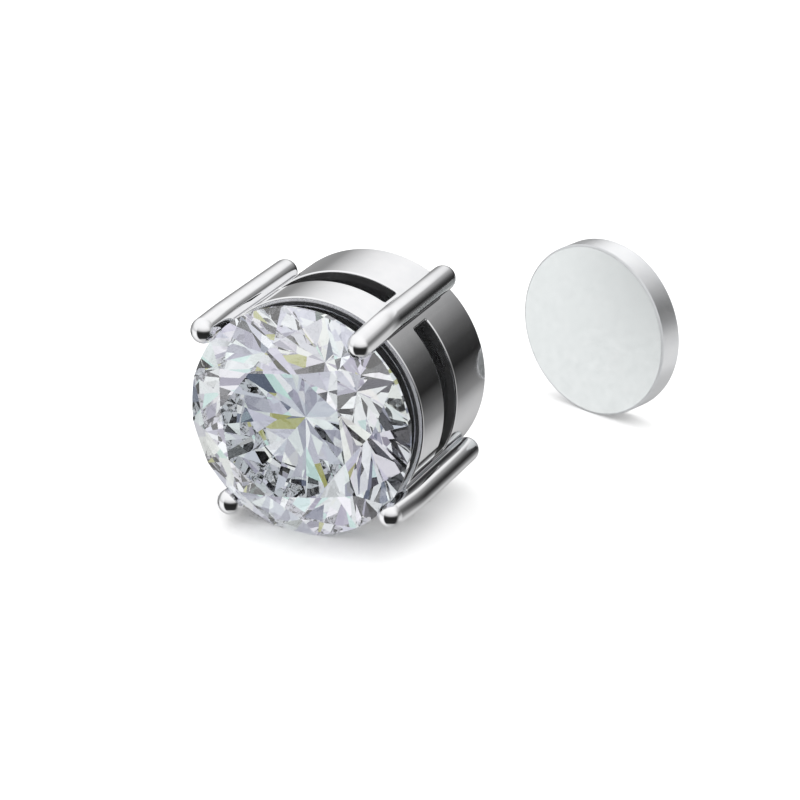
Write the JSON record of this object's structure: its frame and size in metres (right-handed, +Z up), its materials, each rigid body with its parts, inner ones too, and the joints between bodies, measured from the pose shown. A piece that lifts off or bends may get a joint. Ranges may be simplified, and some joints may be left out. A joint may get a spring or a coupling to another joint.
{
  "type": "magnetic stud earring with its magnet disc",
  "caption": "Stud earring with a round brilliant stone in a slotted four-prong basket with a magnet inside, and a loose magnet disc for the back of the ear.",
  "frame": {"origin": "middle of the basket's rear face, which lies on the front of the ear lobe", "axes": "+Y out of the rear face, away from the stone; +Z up, away from the surface that the stone's edge and the lower left prong lie on; the stone faces -Y"},
  "size_m": [0.0121, 0.0169, 0.008],
  "materials": {
    "polished_metal": "mirror-polished white metal",
    "clear_stone": "clear cut stone with a faint cool tint",
    "plated_magnet": "bright nickel plate",
    "satin_magnet": "pale satin plate with a polished edge"
  },
  "bodies": {
    "root": {"basket": "polished_metal", "stone": "clear_stone", "cup_magnet": "plated_magnet", "back_disc": "satin_magnet"}
  },
  "joints": []
}
